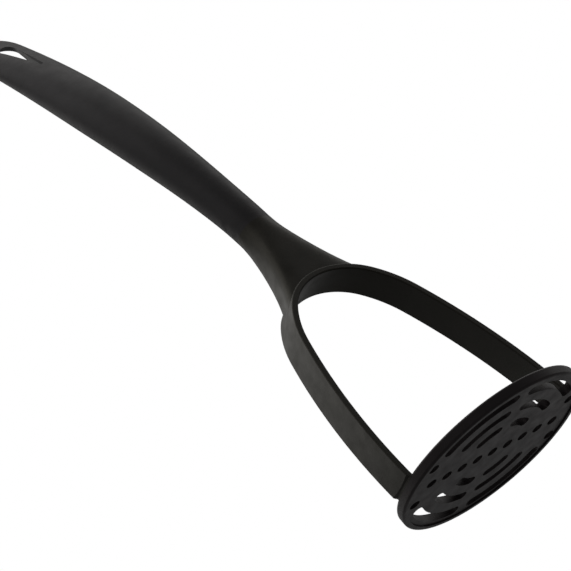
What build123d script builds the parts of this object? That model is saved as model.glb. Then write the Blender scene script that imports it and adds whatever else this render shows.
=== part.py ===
from build123d import *
from math import acos, asin, copysign, cos, degrees, pi, radians, sin, sqrt
import os

# A moulded nylon potato masher, standing on its mashing plate: the origin is the middle of the
# plate's underside, +Z up, +X from foot to foot of the yoke, and the grip bends back along +Y.

# Mashing plate
plate_radius = 44.0
rim_height = 4.8
rim_wall = 2.4
disc_thickness = 3.6
disc_recess = 0.6
rim_rounding = 1.0

# Holes of the plate: a file of round holes from foot to foot, two more beside each end of it,
# and rings of curved slots on both sides, parted by a spoke. Insets are from the plate's edge.
hole_diameter = 4.8
row_end_inset = 11.4
row_count = 9
flank_hole_inset = 5.7
flank_hole_angle = 18
spoke_width = 4.6
slot_ring_insets = (27.1, 17.1, 7.0)
slot_widths = (4.3, 4.3, 4.9)
slot_start_angles = (46, 37, 32)

# Yoke: an arched strap, drawn from its crown down, three arcs on each side. The last one ends
# on the rim, that far inside the plate's edge.
strap_width = 15.9
strap_thickness = 2.7
arch_height = 105.0
crown_radius = 25.7
crown_angle = 50.2
shoulder_radius = 48.7
shoulder_angle = 21.7
foot_inset = 2.1
yoke_lean = 9.05
strap_rounding = 0.5
foot_seat_depth = 1.0
seat_clearance = 0.1

# Neck: it rises from the crown of the arch, where its root is, and narrows up to the grip. Its
# section is an oval at the grip and nearly a box at the strap, a little set back from its edges.
neck_height = 36.3
neck_root_depth = 11.0
neck_half_width = 8.95
neck_flare_radius = 84.0
neck_sections = 8
neck_section_points = 24
neck_squaring_length = 36.0
neck_root_power = 5
neck_setback = 0.3

# Grip: the bend of its middle line, its oval section and the lengths over which that changes
grip_length = 181.0
grip_bend_radius = 200.0
grip_bend_angle = 4.2
grip_sweep_radius = 600.0
grip_half_width = 12.4
grip_half_depth = 9.35
grip_widening_length = 105.0
grip_deepening_length = 75.0
grip_end_half_depth = 5.2
grip_thinning_length = 68.0
grip_end_length = 18.0
grip_steps = 26
end_turns = (20, 38, 54, 68, 79, 87)

# Inside the grip: its wall, the hollow and the spigot of the yoke
grip_wall = 2.8
hollow_steps = 22
spigot_steps = 9
spigot_clearance = 0.3
spigot_rib = 3.2

# Hanging eye: a long teardrop, round towards the end of the grip. It widens a little through the
# front wall and then into a scoop at the back.
eye_end_distance = 21.0
eye_radius = 3.6
eye_tip_radius = 0.9
eye_length = 22.6
eye_wall = 4.0
eye_inner_radius = 6.2
eye_inner_tip_radius = 1.6
eye_inner_shift = 1.5
scoop_radius = 16.4
scoop_tip_radius = 4.0
scoop_shift = 8.5

overrun = 10.0

disc_top = disc_recess + disc_thickness
rim_inside = plate_radius - rim_wall
foot_seat_height = rim_height - foot_seat_depth
row_pitch = 2 * (plate_radius - row_end_inset) / (row_count - 1)
neck_top_height = arch_height + neck_height
neck_length = neck_height + neck_root_depth

# The arch's three centres, each on the line through the last one and the end of its arc. The
# arm's radius is the one that takes it to the foot.
crown_centre = Vector(0, arch_height - crown_radius)
crown_end = Vector(sin(radians(crown_angle)), cos(radians(crown_angle)))
shoulder_centre = crown_centre + crown_end * (crown_radius - shoulder_radius)
arch_turn = crown_angle + shoulder_angle
shoulder_end = Vector(sin(radians(arch_turn)), cos(radians(arch_turn)))
foot = Vector(plate_radius - foot_inset, foot_seat_height)
arm_run = foot - shoulder_centre - shoulder_end * shoulder_radius
arm_radius = arm_run.length**2 / (-2 * arm_run.dot(shoulder_end))
arm_centre = shoulder_centre + shoulder_end * (shoulder_radius - arm_radius)

# The yoke leans back: its two flat faces are square to the lean plane's normal
strap_depth = strap_width * cos(radians(yoke_lean))
axis = Vector(0, sin(radians(yoke_lean)), cos(radians(yoke_lean)))
lean_plane = Plane(origin=(0, 0, 0), x_dir=(1, 0, 0), z_dir=(0, -axis.Z, axis.Y))
neck_top = axis * (neck_top_height / axis.Z)


def across(point, direction):
    """A plane square to a direction in the plane of symmetry, with X from foot to foot."""
    return Plane(origin=point, x_dir=(1, 0, 0), z_dir=direction)


def half_arch(outset):
    """Half of the arch, that far outside its inner face: three arcs from the crown to the foot."""
    foot_turn = degrees(acos((foot_seat_height - arm_centre.Y) / (arm_radius + outset)))
    crown = CenterArc(crown_centre, crown_radius + outset, 90, -crown_angle)
    CenterArc(shoulder_centre, shoulder_radius + outset, 90 - crown_angle, -shoulder_angle)
    arm = CenterArc(arm_centre, arm_radius + outset, 90 - arch_turn, arch_turn - foot_turn)
    return crown @ 0, arm @ 1


def under_arch(outset):
    """The whole area under the arch, that far outside its inner face."""
    with BuildSketch(Plane.XZ) as area:
        with BuildLine():
            top, arm_foot = half_arch(outset)
            Polyline(arm_foot, (0, arm_foot.Y), top)
        make_face()
        mirror(about=Plane.YZ)
    return area.sketch


# The two seats that the feet drop into, cut across the rim along the yoke's lean
with BuildPart() as foot_seats:
    with BuildSketch(lean_plane):
        Rectangle(2 * (plate_radius + overrun), arch_height)
    extrude(amount=strap_depth / 2 + seat_clearance, both=True)
    with BuildSketch(Plane.XY.offset(foot_seat_height)):
        Circle(plate_radius + overrun)
        Circle(rim_inside - seat_clearance, mode=Mode.SUBTRACT)
    extrude(amount=rim_height, mode=Mode.INTERSECT)

# The mashing plate: a pierced disc inside an upright rim
with BuildPart() as mashing_plate:
    with BuildSketch():
        Circle(plate_radius)
    extrude(amount=rim_height)
    fillet(mashing_plate.edges().filter_by(GeomType.CIRCLE), rim_rounding)
    with BuildSketch(Plane.XY.offset(disc_top)):
        Circle(rim_inside)
    extrude(amount=rim_height, mode=Mode.SUBTRACT)
    with BuildSketch():
        Circle(rim_inside)
    extrude(amount=disc_recess, mode=Mode.SUBTRACT)
    with BuildSketch():
        with GridLocations(row_pitch, 0, row_count, 1):
            Circle(hole_diameter / 2)
        for flank_angle in (-flank_hole_angle, flank_hole_angle):
            with PolarLocations(plate_radius - flank_hole_inset, 2, start_angle=flank_angle):
                Circle(hole_diameter / 2)
        for ring_inset, slot_width, start_angle in zip(
            slot_ring_insets, slot_widths, slot_start_angles
        ):
            ring_radius = plate_radius - ring_inset
            spoke_angle = degrees(asin((spoke_width + slot_width) / 2 / ring_radius))
            slot_line = CenterArc(
                (0, 0), ring_radius, start_angle, 90 - spoke_angle - start_angle, mode=Mode.PRIVATE
            )
            slot = SlotArc(slot_line, slot_width)
            side = mirror(slot, about=Plane.YZ)
            mirror(slot, about=Plane.XZ)
            mirror(side, about=Plane.XZ)
    extrude(amount=rim_height, mode=Mode.SUBTRACT)
    add(foot_seats.part, mode=Mode.SUBTRACT)

mashing_plate.part.label = "mashing_plate"

# The grip's middle line: a short bend back from the neck, then a long sweep
bend_length = grip_bend_radius * radians(grip_bend_angle)
sweep_angle = degrees((grip_length - bend_length) / grip_sweep_radius)

with BuildLine() as grip_path:
    bend = JernArc((neck_top.Y, neck_top.Z), (axis.Y, axis.Z), grip_bend_radius, -grip_bend_angle)
    JernArc(bend @ 1, bend % 1, grip_sweep_radius, -sweep_angle)

grip_line = grip_path.wire()
body_length = grip_length - grip_end_length
grip_places = [body_length * step / grip_steps for step in range(grip_steps + 1)]


def ease(share):
    """A share from 0 to 1 that starts and ends level."""
    return (1 - cos(pi * min(share, 1))) / 2


def half_width(place):
    """The grip's half width at a place along it."""
    return neck_half_width + (grip_half_width - neck_half_width) * ease(place / grip_widening_length)


def half_depth(place):
    """The grip's half depth at a place along it: deeper up to the middle, then thinner."""
    neck_half_depth = strap_depth / 2
    deepening = ease(place / grip_deepening_length)
    thinning = max(place - body_length + grip_thinning_length, 0) / grip_thinning_length
    thinned = (grip_half_depth - grip_end_half_depth) * (1 - cos(pi / 2 * thinning))
    return neck_half_depth + (grip_half_depth - neck_half_depth) * deepening - thinned


def grip_plane(place):
    """The plane across the grip at a place along it."""
    point = grip_line @ (place / grip_length)
    heading = grip_line % (place / grip_length)
    return across((0, point.X, point.Y), (0, heading.X, heading.Y))


def grip_facing(place):
    """The plane along the grip there, with Y towards its end and Z out of its front."""
    section = grip_plane(place)
    return Plane(origin=section.origin, x_dir=section.x_dir, z_dir=-section.y_dir)


def grip_inside(places, inset):
    """The room inside the grip through some places, that far inside its surface."""
    with BuildPart() as room:
        for place in places:
            with BuildSketch(grip_plane(place)):
                Ellipse(half_width(place) - inset, half_depth(place) - inset)
        loft()
    return room.part


# The spigot: two crossed ribs inside the start of the grip, clear of its hollow
with BuildPart() as spigot:
    for rib_width, rib_depth in (
        (2 * grip_half_width, spigot_rib),
        (spigot_rib, 2 * grip_half_depth),
    ):
        for place in grip_places[:spigot_steps]:
            with BuildSketch(grip_plane(place)):
                Rectangle(rib_width, rib_depth)
        loft()
    spigot_room = grip_inside(grip_places[:spigot_steps], grip_wall + spigot_clearance)
    add(spigot_room, mode=Mode.INTERSECT)



def squared_oval(half_long, half_short, power):
    """Points round an oval, which is an ellipse at power 2 and squarer at a higher one."""
    turns = [2 * pi * point / neck_section_points for point in range(neck_section_points)]
    return [
        (
            copysign(abs(cos(turn)) ** (2 / power), cos(turn)) * half_long,
            copysign(abs(sin(turn)) ** (2 / power), sin(turn)) * half_short,
        )
        for turn in turns
    ]


# The neck: it narrows from the crown of the arch up to the grip
with BuildPart() as neck:
    for section in range(neck_sections):
        drop = neck_length * (1 - section / (neck_sections - 1))
        flare = neck_flare_radius - sqrt(neck_flare_radius**2 - drop**2)
        squaring = ease(drop / neck_squaring_length)
        half_depth_here = strap_depth / 2 - neck_setback * squaring
        power = 2 + (neck_root_power - 2) * squaring
        with BuildSketch(across(axis * ((neck_top_height - drop) / axis.Z), axis)):
            with BuildLine():
                Spline(
                    *squared_oval(neck_half_width + flare, half_depth_here, power), periodic=True
                )
            make_face()
    loft()
    extrude(under_arch(strap_thickness / 2), amount=arch_height, both=True, mode=Mode.SUBTRACT)

# The room for the yoke: flush with the rim beside it, and wider by 45 degrees above it
with BuildPart() as foot_room:
    with BuildSketch(Plane.XZ):
        room_top = arch_height + overrun
        with BuildLine():
            Polyline(
                (0, foot_seat_height),
                (plate_radius, foot_seat_height),
                (plate_radius, rim_height),
                (plate_radius + overrun, rim_height + overrun),
                (plate_radius + overrun, room_top),
                (0, room_top),
                close=True,
            )
        make_face()
    revolve(axis=Axis.Z)

# The yoke: the arched strap, the neck on its crown and the spigot
with BuildPart() as yoke:
    with BuildSketch(Plane.XZ):
        with BuildLine():
            outer_top, outer_foot = half_arch(strap_thickness)
            inner_top, inner_foot = half_arch(0)
            Line(outer_top, inner_top)
            Line(outer_foot, inner_foot)
        make_face()
        mirror(about=Plane.YZ)
    extrude(amount=arch_height, both=True)
    with BuildSketch(lean_plane):
        Rectangle(2 * (plate_radius + overrun), 2 * (arch_height + overrun))
    extrude(amount=strap_depth / 2, both=True, mode=Mode.INTERSECT)
    strap_edges = yoke.faces().filter_by(lean_plane).edges().filter_by(GeomType.LINE, reverse=True)
    fillet(strap_edges, strap_rounding)
    add(foot_room.part, mode=Mode.INTERSECT)
    add(neck.part)
    add(spigot.part)

yoke.part.label = "yoke"

# The hanging eye
eye_facing = grip_facing(grip_length - eye_end_distance)
eye_front = half_depth(grip_length - eye_end_distance)


def teardrop(depth, round_place, round_radius, tip_place, tip_radius):
    """A teardrop that far inside the grip's front, round at one place and narrow at another."""
    with BuildSketch(eye_facing.offset(eye_front - depth)) as drop:
        with Locations((0, round_place)):
            Circle(round_radius)
        with Locations((0, tip_place)):
            Circle(tip_radius)
        make_hull()
    return drop.sketch


with BuildPart() as hanging_eye:
    front_drop = teardrop(0, 0, eye_radius, -eye_length, eye_tip_radius)
    inner_drop = teardrop(
        eye_wall, eye_inner_shift, eye_inner_radius, eye_inner_shift - eye_length, eye_inner_tip_radius
    )
    scoop_drop = teardrop(
        2 * eye_front, scoop_shift, scoop_radius, scoop_shift - eye_length, scoop_tip_radius
    )
    extrude(front_drop, amount=overrun)
    loft([front_drop.face(), inner_drop.face()])
    loft([inner_drop.face(), scoop_drop.face()])
    extrude(scoop_drop, amount=-overrun)

# The handle: the grip, its hollow and its hanging eye
with BuildPart() as handle:
    for place in grip_places:
        with BuildSketch(grip_plane(place)):
            Ellipse(half_width(place), half_depth(place))
    for turn in end_turns:
        place = body_length + grip_end_length * sin(radians(turn))
        roundness = cos(radians(turn))
        with BuildSketch(grip_plane(place)):
            Ellipse(grip_half_width * roundness, grip_end_half_depth * roundness)
    loft()
    add(grip_inside(grip_places[:hollow_steps], grip_wall), mode=Mode.SUBTRACT)
    add(hanging_eye.part, mode=Mode.SUBTRACT)

handle.part.label = "handle"

os.makedirs("parts", exist_ok=True)
for piece in (mashing_plate, yoke, handle):
    export_step(piece.part, f"parts/{piece.part.label}.step")
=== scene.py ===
"""The looks of a moulded nylon potato masher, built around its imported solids."""

import math

import bpy
from mathutils import Matrix, Vector


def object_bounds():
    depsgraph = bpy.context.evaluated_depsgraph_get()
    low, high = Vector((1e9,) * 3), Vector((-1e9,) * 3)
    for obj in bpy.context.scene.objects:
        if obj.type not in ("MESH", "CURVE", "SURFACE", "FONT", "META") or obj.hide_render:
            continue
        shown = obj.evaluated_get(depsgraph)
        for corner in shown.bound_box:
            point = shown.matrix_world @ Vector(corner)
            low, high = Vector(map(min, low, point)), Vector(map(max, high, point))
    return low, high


bl_info = {
    "name": "Potato Masher Looks",
    "version": (1, 0, 0),
    "blender": (4, 5, 0),
    "location": "3D View > Sidebar > Masher",
    "description": "Black nylon finishes, studio and camera for a one-hand potato masher",
    "category": "Object",
}

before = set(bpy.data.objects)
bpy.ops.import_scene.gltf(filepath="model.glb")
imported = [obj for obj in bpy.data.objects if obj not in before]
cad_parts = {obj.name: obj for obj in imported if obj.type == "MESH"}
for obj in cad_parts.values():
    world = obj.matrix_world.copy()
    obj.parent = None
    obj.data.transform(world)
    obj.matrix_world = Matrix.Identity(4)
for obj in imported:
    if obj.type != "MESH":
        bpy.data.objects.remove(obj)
cad_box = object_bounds()

# The square picture, the camera's sensor in millimetres, and how near and far it sees in metres
PICTURE_PIXELS = 571
SENSOR_WIDTH = 36.0
NEAREST_SEEN = 0.01
FARTHEST_SEEN = 100

# The values of a noise between which clouds, patches of gloss and streaks of painted highlight
# come up
CLOUD_SPAN = (0.42, 0.68)
SMEAR_SPAN = (0.3, 0.7)
STREAK_SPAN = (0.5, 0.72)

# How many grains wide the waves in the moulded grain are
WAVE_GRAINS = 3

# How the streaks of painted highlight on the rim's end are turned about the masher's axis and
# drawn out, and how many times paler than the nylon they are
STREAK_TURN = math.radians(35)
STREAK_SQUEEZE = 0.12
PAINTED_HIGHLIGHT_PALENESS = 4

# The corners of the round floor, and the shares of its radius between which it fades to white
FLOOR_CORNERS = 96
FADE_SPAN = (0.15, 0.9)

# How far every lamp stands from the masher's middle, in metres
LAMP_DISTANCE = 1.5


class MasherNylon(bpy.types.PropertyGroup):
    """The black nylon of the three mouldings, with the colour of each."""

    grip_pigment: bpy.props.FloatVectorProperty(
        name="Grip pigment",
        description="Colour of the grip's nylon in plain light",
        subtype="COLOR",
        size=3,
        min=0,
        max=1,
        default=(0.0064, 0.0058, 0.0060),
    )
    yoke_pigment: bpy.props.FloatVectorProperty(
        name="Yoke pigment",
        description="Colour of the yoke's nylon in plain light",
        subtype="COLOR",
        size=3,
        min=0,
        max=1,
        default=(0.0064, 0.0058, 0.0046),
    )
    # Painted light: the plate's pigment is paler than that of the grip and yoke, which share its
    # nylon, and stands in for the brighter sheen on its face
    plate_pigment_and_painted_light: bpy.props.FloatVectorProperty(
        name="Plate pigment and painted light",
        description="Colour of the plate's nylon in plain light, dulled by washing",
        subtype="COLOR",
        size=3,
        min=0,
        max=1,
        default=(0.0078, 0.0064, 0.0068),
    )
    bloom: bpy.props.FloatProperty(
        name="Bloom",
        description="How much paler the nylon is where it cooled faster in the mould",
        subtype="FACTOR",
        default=0.5,
    )
    cloud_size: bpy.props.FloatProperty(
        name="Cloud size",
        description="Width of the soft clouds in the colour",
        subtype="DISTANCE",
        default=0.022,
    )
    grain_size: bpy.props.FloatProperty(
        name="Grain size",
        description="Width of the spark-eroded grain that the mould leaves",
        subtype="DISTANCE",
        default=0.00045,
    )
    grain_depth: bpy.props.FloatProperty(
        name="Grain depth",
        description="Height of the moulded grain",
        subtype="DISTANCE",
        default=0.000012,
    )
    smear_size: bpy.props.FloatProperty(
        name="Smear size",
        description="Width of the patches that are a little shinier or duller",
        subtype="DISTANCE",
        default=0.006,
    )
    refraction: bpy.props.FloatProperty(
        name="Refraction",
        description="Index of refraction of nylon",
        default=1.53,
    )
    gloss_level: bpy.props.FloatProperty(
        name="Gloss level",
        description="Strength of the sheen, where 0.5 is a smooth plastic without moulded grain",
        subtype="FACTOR",
        default=0.23,
    )


class MasherSheen(bpy.types.PropertyGroup):
    """How each moulding shines, and the painted highlight on the end of the plate's rim."""

    plate_roughness: bpy.props.FloatProperty(
        name="Plate roughness",
        description="Roughness of the mashing plate",
        subtype="FACTOR",
        default=0.40,
    )
    yoke_roughness: bpy.props.FloatProperty(
        name="Yoke roughness",
        description="Roughness of the yoke and its neck",
        subtype="FACTOR",
        default=0.42,
    )
    grip_roughness: bpy.props.FloatProperty(
        name="Grip roughness",
        description="Roughness of the grip",
        subtype="FACTOR",
        default=0.50,
    )
    plate_patchiness: bpy.props.FloatProperty(
        name="Plate patchiness",
        description="How far the plate's roughness changes from patch to patch",
        subtype="FACTOR",
        default=0.16,
    )
    yoke_patchiness: bpy.props.FloatProperty(
        name="Yoke patchiness",
        description="How far the yoke's roughness changes from patch to patch",
        subtype="FACTOR",
        default=0.14,
    )
    grip_patchiness: bpy.props.FloatProperty(
        name="Grip patchiness",
        description="How far the grip's roughness changes from patch to patch",
        subtype="FACTOR",
        default=0.08,
    )
    plate_tint: bpy.props.FloatVectorProperty(
        name="Plate tint",
        description="Colour of the plate's sheen",
        subtype="COLOR",
        size=3,
        min=0,
        max=1,
        default=(1.0, 0.91, 0.93),
    )
    yoke_tint: bpy.props.FloatVectorProperty(
        name="Yoke tint",
        description="Colour of the yoke's sheen, a little warm",
        subtype="COLOR",
        size=3,
        min=0,
        max=1,
        default=(1.0, 0.96, 0.84),
    )
    grip_tint: bpy.props.FloatVectorProperty(
        name="Grip tint",
        description="Colour of the grip's sheen, a little cool",
        subtype="COLOR",
        size=3,
        min=0,
        max=1,
        default=(0.97, 0.95, 1.0),
    )
    # Painted highlight: pale streaks on the end of the plate's rim that stand in for the light
    # caught there
    painted_rim_highlight: bpy.props.FloatProperty(
        name="Rim rub",
        description="How much the rim's end is rubbed paler by pans and boards",
        subtype="FACTOR",
        default=0.35,
    )
    painted_highlight_height: bpy.props.FloatProperty(
        name="Painted highlight height",
        description="Height over which the rub fades out",
        subtype="DISTANCE",
        default=0.0012,
    )


class MasherStudio(bpy.types.PropertyGroup):
    """The floor, the lamps and the camera."""

    floor_radius: bpy.props.FloatProperty(
        name="Floor radius",
        description="Radius of the pale floor",
        subtype="DISTANCE",
        default=3.0,
    )
    floor_drop: bpy.props.FloatProperty(
        name="Floor drop",
        description="How far the floor lies under the plate's rim",
        subtype="DISTANCE",
        default=0.0003,
    )
    floor_colour: bpy.props.FloatVectorProperty(
        name="Floor colour",
        description="Colour of the floor",
        subtype="COLOR",
        size=3,
        min=0,
        max=1,
        default=(0.88, 0.88, 0.88),
    )
    floor_density: bpy.props.FloatProperty(
        name="Floor density",
        description="How solid the floor looks in front of the white room, so that it reads pale",
        subtype="FACTOR",
        default=0.7,
    )
    room_light: bpy.props.FloatProperty(
        name="Room light",
        description="Even light from all round",
        default=0.20,
    )
    lamp_tint: bpy.props.FloatVectorProperty(
        name="Lamp tint",
        description="Slightly warm colour of the lamps",
        subtype="COLOR",
        size=3,
        min=0,
        max=1,
        default=(1.0, 0.985, 0.955),
    )
    view_target: bpy.props.FloatVectorProperty(
        name="View target",
        description="The point in the middle of the picture",
        subtype="TRANSLATION",
        size=3,
        default=(-0.03701, -0.01687, 0.09430),
    )
    view_distance: bpy.props.FloatProperty(
        name="View distance",
        description="Distance from the camera to the target",
        subtype="DISTANCE",
        default=1.3910,
    )
    view_azimuth: bpy.props.FloatProperty(
        name="View azimuth",
        description="Turn of the camera round the masher, from looking along +Y",
        subtype="ANGLE",
        default=math.radians(-37.924),
    )
    view_elevation: bpy.props.FloatProperty(
        name="View elevation",
        description="Height of the camera above the horizon",
        subtype="ANGLE",
        default=math.radians(-20.985),
    )
    view_roll: bpy.props.FloatProperty(
        name="View roll",
        description="Turn of the camera about its own line of sight",
        subtype="ANGLE",
        default=math.radians(-40.626),
    )
    focal_pixels: bpy.props.FloatProperty(
        name="Focal length in pixels",
        description="Focal length of the camera in pixels of the square picture",
        default=3615.8,
    )


def new_material(name):
    """An empty node material with its output."""
    material = bpy.data.materials.new(name)
    material.use_nodes = True
    tree = material.node_tree
    tree.nodes.clear()
    output = tree.nodes.new("ShaderNodeOutputMaterial")
    return material, tree, output


def noise(tree, position, width, detail, roughness=0.5):
    """A noise whose lumps are about that wide, in metres."""
    node = tree.nodes.new("ShaderNodeTexNoise")
    node.inputs["Scale"].default_value = 1 / width
    node.inputs["Detail"].default_value = detail
    node.inputs["Roughness"].default_value = roughness
    tree.links.new(position, node.inputs["Vector"])
    return node.outputs["Fac"]


def ranged(tree, value, span, start, end):
    """A value that goes from start to end as the given one crosses the span, and no further."""
    node = tree.nodes.new("ShaderNodeMapRange")
    node.inputs["From Min"].default_value, node.inputs["From Max"].default_value = span
    node.inputs["To Min"].default_value = start
    node.inputs["To Max"].default_value = end
    tree.links.new(value, node.inputs["Value"])
    return node.outputs["Result"]


def combined(tree, operation, first, second):
    """Two values put together by a sum, a product or the like."""
    node = tree.nodes.new("ShaderNodeMath")
    node.operation = operation
    for socket, value in zip(node.inputs, (first, second)):
        if isinstance(value, (int, float)):
            socket.default_value = value
        else:
            tree.links.new(value, socket)
    return node.outputs["Value"]


def blended(tree, factor, first, second):
    """Two colours blended by a factor, where the second may be a plain colour."""
    node = tree.nodes.new("ShaderNodeMix")
    node.data_type = "RGBA"
    tree.links.new(factor, node.inputs["Factor"])
    tree.links.new(first, node.inputs["A"])
    if isinstance(second, tuple):
        node.inputs["B"].default_value = second
    else:
        tree.links.new(second, node.inputs["B"])
    return node.outputs["Result"]


def background_rays(tree):
    """One for the rays that show the background, and nought for those that light the masher."""
    path = tree.nodes.new("ShaderNodeLightPath").outputs
    return combined(tree, "MAXIMUM", path["Is Camera Ray"], path["Is Transmission Ray"])


def new_group(name, inputs, outputs):
    """An empty shader group with its sockets, its two ends and the place on the surface."""
    group = bpy.data.node_groups.new(name, "ShaderNodeTree")
    for in_out, sockets in (("INPUT", inputs), ("OUTPUT", outputs)):
        for label, kind in sockets:
            group.interface.new_socket(label, in_out=in_out, socket_type=kind)
    entry = group.nodes.new("NodeGroupInput").outputs
    leave = group.nodes.new("NodeGroupOutput").inputs
    position = group.nodes.new("ShaderNodeTexCoord").outputs["Object"]
    return group, entry, leave, position


def moulded_skin_group(nylon):
    """The shader group of moulded nylon: clouded colour, patchy gloss and fine grain."""
    name = "Moulded skin"
    if name in bpy.data.node_groups:
        return bpy.data.node_groups[name]
    group, entry, leave, position = new_group(
        name,
        inputs=(
            ("Pigment", "NodeSocketColor"),
            ("Bloomed", "NodeSocketColor"),
            ("Roughness", "NodeSocketFloat"),
            ("Patchiness", "NodeSocketFloat"),
        ),
        outputs=(
            ("Color", "NodeSocketColor"),
            ("Roughness", "NodeSocketFloat"),
            ("Grain", "NodeSocketFloat"),
        ),
    )

    clouds = noise(group, position, nylon.cloud_size, detail=3)
    cloudiness = ranged(group, clouds, CLOUD_SPAN, 0, 1)
    colour = blended(group, cloudiness, entry["Pigment"], entry["Bloomed"])
    group.links.new(colour, leave["Color"])

    smears = noise(group, position, nylon.smear_size, detail=4)
    shift = ranged(group, smears, SMEAR_SPAN, -0.5, 0.5)
    change = combined(group, "MULTIPLY", shift, entry["Patchiness"])
    roughness = combined(group, "ADD", entry["Roughness"], change)
    group.links.new(roughness, leave["Roughness"])

    pits = group.nodes.new("ShaderNodeTexVoronoi")
    pits.inputs["Scale"].default_value = 1 / nylon.grain_size
    group.links.new(position, pits.inputs["Vector"])
    waves = noise(group, position, WAVE_GRAINS * nylon.grain_size, detail=2)
    grain = combined(group, "ADD", pits.outputs["Distance"], waves)
    group.links.new(grain, leave["Grain"])
    return group


def painted_rim_highlight_group(sheen):
    """The shader group of a painted highlight on the rim's end: pale streaks that fade upwards
    from the floor.
    """
    name = "Rim rub"
    if name in bpy.data.node_groups:
        return bpy.data.node_groups[name]
    group, entry, leave, position = new_group(
        name,
        inputs=(("Amount", "NodeSocketFloat"),),
        outputs=(("Mask", "NodeSocketFloat"),),
    )
    split = group.nodes.new("ShaderNodeSeparateXYZ")
    group.links.new(position, split.inputs["Vector"])
    low = ranged(group, split.outputs["Z"], (0, sheen.painted_highlight_height), 1, 0)
    stretch = group.nodes.new("ShaderNodeMapping")
    stretch.inputs["Rotation"].default_value = (0, 0, STREAK_TURN)
    stretch.inputs["Scale"].default_value = (1, STREAK_SQUEEZE, 1)
    group.links.new(position, stretch.inputs["Vector"])
    highlight_streaks = noise(
        group, stretch.outputs["Vector"], sheen.painted_highlight_height, detail=5, roughness=0.7
    )
    lines = ranged(group, highlight_streaks, STREAK_SPAN, 0, 1)
    mask = combined(group, "MULTIPLY", low, lines)
    amount = combined(group, "MULTIPLY", mask, entry["Amount"])
    group.links.new(amount, leave["Mask"])
    return group


def nylon_material(name, nylon, pigment, tint, roughness, patchiness, sheen=None):
    """Black nylon with its own colour and sheen, and a painted highlight on the rim where sheen
    is given.
    """
    material, tree, output = new_material(name)
    shader = tree.nodes.new("ShaderNodeBsdfPrincipled")
    shader.inputs["IOR"].default_value = nylon.refraction
    shader.inputs["Specular IOR Level"].default_value = nylon.gloss_level
    shader.inputs["Specular Tint"].default_value = (*tint, 1)
    skin = tree.nodes.new("ShaderNodeGroup")
    skin.node_tree = moulded_skin_group(nylon)
    bloomed = [part * (1 + nylon.bloom) for part in pigment]
    skin.inputs["Pigment"].default_value = (*pigment, 1)
    skin.inputs["Bloomed"].default_value = (*bloomed, 1)
    skin.inputs["Roughness"].default_value = roughness
    skin.inputs["Patchiness"].default_value = patchiness
    colour = skin.outputs["Color"]
    # Where sheen is given, pale streaks of painted highlight are blended into the colour at the
    # rim's end
    if sheen:
        highlight = tree.nodes.new("ShaderNodeGroup")
        highlight.node_tree = painted_rim_highlight_group(sheen)
        highlight.inputs["Amount"].default_value = sheen.painted_rim_highlight
        highlighted = [PAINTED_HIGHLIGHT_PALENESS * part for part in bloomed]
        colour = blended(tree, highlight.outputs["Mask"], colour, (*highlighted, 1))
    bump = tree.nodes.new("ShaderNodeBump")
    bump.inputs["Strength"].default_value = 1
    bump.inputs["Distance"].default_value = nylon.grain_depth
    tree.links.new(skin.outputs["Grain"], bump.inputs["Height"])
    tree.links.new(colour, shader.inputs["Base Color"])
    tree.links.new(skin.outputs["Roughness"], shader.inputs["Roughness"])
    tree.links.new(bump.outputs["Normal"], shader.inputs["Normal"])
    tree.links.new(shader.outputs["BSDF"], output.inputs["Surface"])
    return material


def dress(node, material):
    """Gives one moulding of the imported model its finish."""
    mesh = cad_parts[node].data
    mesh.materials.clear()
    mesh.materials.append(material)


class MASHER_OT_plate(bpy.types.Operator):
    """Finish the pierced mashing plate and its rim"""

    bl_idname = "masher.plate"
    bl_label = "Mashing plate"

    def execute(self, context):
        nylon, sheen = context.scene.masher_nylon, context.scene.masher_sheen
        material = nylon_material(
            "plate_nylon",
            nylon,
            nylon.plate_pigment_and_painted_light,
            sheen.plate_tint,
            sheen.plate_roughness,
            sheen.plate_patchiness,
            # Passing sheen here also paints a highlight on the rim's end
            sheen,
        )
        dress("mashing_plate", material)
        return {"FINISHED"}


class MASHER_OT_yoke(bpy.types.Operator):
    """Finish the arched yoke and its neck"""

    bl_idname = "masher.yoke"
    bl_label = "Yoke"

    def execute(self, context):
        nylon, sheen = context.scene.masher_nylon, context.scene.masher_sheen
        material = nylon_material(
            "yoke_nylon",
            nylon,
            nylon.yoke_pigment,
            sheen.yoke_tint,
            sheen.yoke_roughness,
            sheen.yoke_patchiness,
        )
        dress("yoke", material)
        return {"FINISHED"}


class MASHER_OT_handle(bpy.types.Operator):
    """Finish the grip and its hanging eye"""

    bl_idname = "masher.handle"
    bl_label = "Handle"

    def execute(self, context):
        nylon, sheen = context.scene.masher_nylon, context.scene.masher_sheen
        material = nylon_material(
            "handle_nylon",
            nylon,
            nylon.grip_pigment,
            sheen.grip_tint,
            sheen.grip_roughness,
            sheen.grip_patchiness,
        )
        dress("handle", material)
        return {"FINISHED"}


def view_axes(azimuth, elevation, roll):
    """The camera's right, up and backward directions."""
    back = Vector(
        (
            math.sin(azimuth) * math.cos(elevation),
            -math.cos(azimuth) * math.cos(elevation),
            math.sin(elevation),
        )
    )
    level_right = Vector((math.cos(azimuth), math.sin(azimuth), 0))
    level_up = back.cross(level_right)
    right = level_right * math.cos(roll) + level_up * math.sin(roll)
    return right, back.cross(right), back


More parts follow.
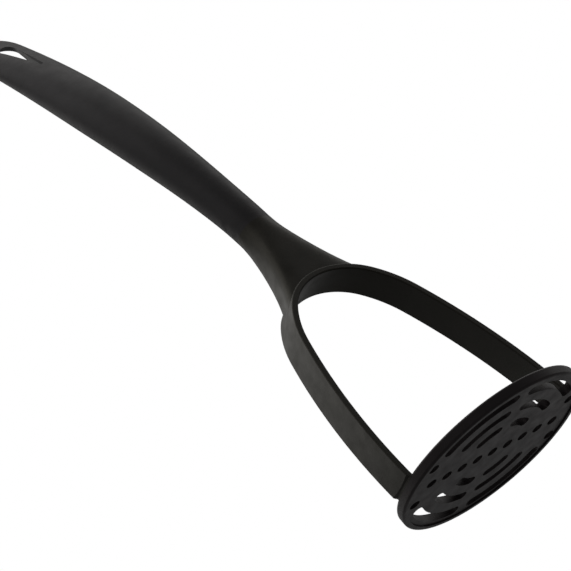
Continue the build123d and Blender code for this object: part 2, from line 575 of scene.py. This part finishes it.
def studio_camera(studio):
    """The camera at the picture's viewing angle."""
    right, up, back = view_axes(studio.view_azimuth, studio.view_elevation, studio.view_roll)
    data = bpy.data.cameras.new("Camera")
    data.sensor_width = SENSOR_WIDTH
    data.lens = SENSOR_WIDTH * studio.focal_pixels / PICTURE_PIXELS
    data.clip_start = NEAREST_SEEN
    data.clip_end = FARTHEST_SEEN
    camera = bpy.data.objects.new("Camera", data)
    bpy.context.scene.collection.objects.link(camera)
    turn = Matrix((right, up, back)).transposed().to_4x4()
    place = Vector(studio.view_target) + back * studio.view_distance
    camera.matrix_world = Matrix.Translation(place) @ turn
    bpy.context.scene.camera = camera
    return right, up, back


def floor_material(studio):
    """A pale floor, seen from above only, that lets lamps through and fades to white far off."""
    material, tree, output = new_material("pale_floor")
    paint = tree.nodes.new("ShaderNodeBsdfDiffuse")
    paint.inputs["Color"].default_value = (*studio.floor_colour, 1)
    clear = tree.nodes.new("ShaderNodeBsdfTransparent")
    geometry = tree.nodes.new("ShaderNodeNewGeometry")
    position = tree.nodes.new("ShaderNodeTexCoord").outputs["Object"]
    length = tree.nodes.new("ShaderNodeVectorMath")
    length.operation = "LENGTH"
    tree.links.new(position, length.inputs[0])
    fade = [share * studio.floor_radius for share in FADE_SPAN]
    density = ranged(tree, length.outputs["Value"], fade, studio.floor_density, 0)
    above = combined(tree, "SUBTRACT", 1, geometry.outputs["Backfacing"])
    seen = combined(tree, "MULTIPLY", above, background_rays(tree))
    shown = combined(tree, "MULTIPLY", seen, density)
    mix = tree.nodes.new("ShaderNodeMixShader")
    tree.links.new(shown, mix.inputs["Fac"])
    tree.links.new(clear.outputs["BSDF"], mix.inputs[1])
    tree.links.new(paint.outputs["BSDF"], mix.inputs[2])
    tree.links.new(mix.outputs["Shader"], output.inputs["Surface"])
    return material


def studio_floor(studio):
    """A flat round floor just under the plate."""
    edge = [
        (
            studio.floor_radius * math.cos(math.tau * corner / FLOOR_CORNERS),
            studio.floor_radius * math.sin(math.tau * corner / FLOOR_CORNERS),
            -studio.floor_drop,
        )
        for corner in range(FLOOR_CORNERS)
    ]
    mesh = bpy.data.meshes.new("floor")
    mesh.from_pydata(edge, [], [tuple(range(FLOOR_CORNERS))])
    floor = bpy.data.objects.new("floor", mesh)
    mesh.materials.append(floor_material(studio))
    bpy.context.scene.collection.objects.link(floor)


def studio_world(studio):
    """An even room light that the camera sees as plain white."""
    world = bpy.data.worlds.new("Room")
    world.use_nodes = True
    tree = world.node_tree
    tree.nodes.clear()
    output = tree.nodes.new("ShaderNodeOutputWorld")
    mix = tree.nodes.new("ShaderNodeMixShader")
    tree.links.new(background_rays(tree), mix.inputs["Fac"])
    for side, strength in ((1, studio.room_light), (2, 1)):
        background = tree.nodes.new("ShaderNodeBackground")
        background.inputs["Color"].default_value = (1, 1, 1, 1)
        background.inputs["Strength"].default_value = strength
        tree.links.new(background.outputs["Background"], mix.inputs[side])
    tree.links.new(mix.outputs["Shader"], output.inputs["Surface"])
    bpy.context.scene.world = world


# Each lamp's name, its direction from the masher as shares of the camera's right, up and
# backward directions, its width in metres and its power in watts
LAMPS = (
    ("overhead", (-0.61, 0.71, -0.36), 1.6, 7.4),
    ("key_left", (-0.85, 0.50, 0.15), 1.6, 5.0),
    ("back_left", (-0.80, 0.00, -0.60), 1.6, 5.8),
    ("side_left", (-0.98, 0.00, -0.20), 1.6, 1.2),
    ("back_top", (0.00, 0.80, -0.60), 1.2, 3.2),
    ("back_right", (0.50, 0.60, -0.62), 1.0, 1.0),
    ("side_right", (0.75, -0.30, -0.58), 1.2, 0.4),
)


def studio_lamps(studio, axes):
    """Soft square lamps round the masher, all pointed at its middle."""
    middle = (cad_box[0] + cad_box[1]) / 2
    for name, shares, width, power in LAMPS:
        away = sum((axis * share for axis, share in zip(axes, shares)), Vector())
        away.normalize()
        data = bpy.data.lights.new(name, "AREA")
        data.shape = "SQUARE"
        data.size = width
        data.energy = power
        data.color = studio.lamp_tint
        lamp = bpy.data.objects.new(name, data)
        lamp.location = middle + away * LAMP_DISTANCE
        lamp.rotation_mode = "QUATERNION"
        lamp.rotation_quaternion = (-away).to_track_quat("-Z", "Y")
        bpy.context.scene.collection.objects.link(lamp)


class MASHER_OT_stage(bpy.types.Operator):
    """Set up the pale floor, the soft lamps and the camera"""

    bl_idname = "masher.stage"
    bl_label = "Stage"

    def execute(self, context):
        studio = context.scene.masher_studio
        axes = studio_camera(studio)
        studio_floor(studio)
        studio_world(studio)
        studio_lamps(studio, axes)
        context.scene.view_settings.view_transform = "Standard"
        return {"FINISHED"}


class MASHER_PT_sidebar(bpy.types.Panel):
    """The masher's finishes and stage"""

    bl_idname = "MASHER_PT_sidebar"
    bl_label = "Potato masher"
    bl_space_type = "VIEW_3D"
    bl_region_type = "UI"
    bl_category = "Masher"

    def draw(self, context):
        scene = context.scene
        for operator in OPERATORS:
            self.layout.operator(operator.bl_idname)
        for group in (scene.masher_nylon, scene.masher_sheen, scene.masher_studio):
            box = self.layout.box()
            for name in group.__annotations__:
                box.prop(group, name)


OPERATORS = (MASHER_OT_plate, MASHER_OT_yoke, MASHER_OT_handle, MASHER_OT_stage)
GROUPS = (
    ("masher_nylon", MasherNylon),
    ("masher_sheen", MasherSheen),
    ("masher_studio", MasherStudio),
)


def register():
    """Adds the settings, the operators and the panel."""
    for name, group in GROUPS:
        bpy.utils.register_class(group)
        setattr(bpy.types.Scene, name, bpy.props.PointerProperty(type=group))
    for cls in (*OPERATORS, MASHER_PT_sidebar):
        bpy.utils.register_class(cls)


def unregister():
    """Takes the settings, the operators and the panel away."""
    for cls in (MASHER_PT_sidebar, *reversed(OPERATORS)):
        bpy.utils.unregister_class(cls)
    for name, group in reversed(GROUPS):
        delattr(bpy.types.Scene, name)
        bpy.utils.unregister_class(group)


def main():
    """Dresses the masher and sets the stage."""
    register()
    bpy.ops.masher.plate()
    bpy.ops.masher.yoke()
    bpy.ops.masher.handle()
    bpy.ops.masher.stage()


if __name__ == "__main__":
    main()
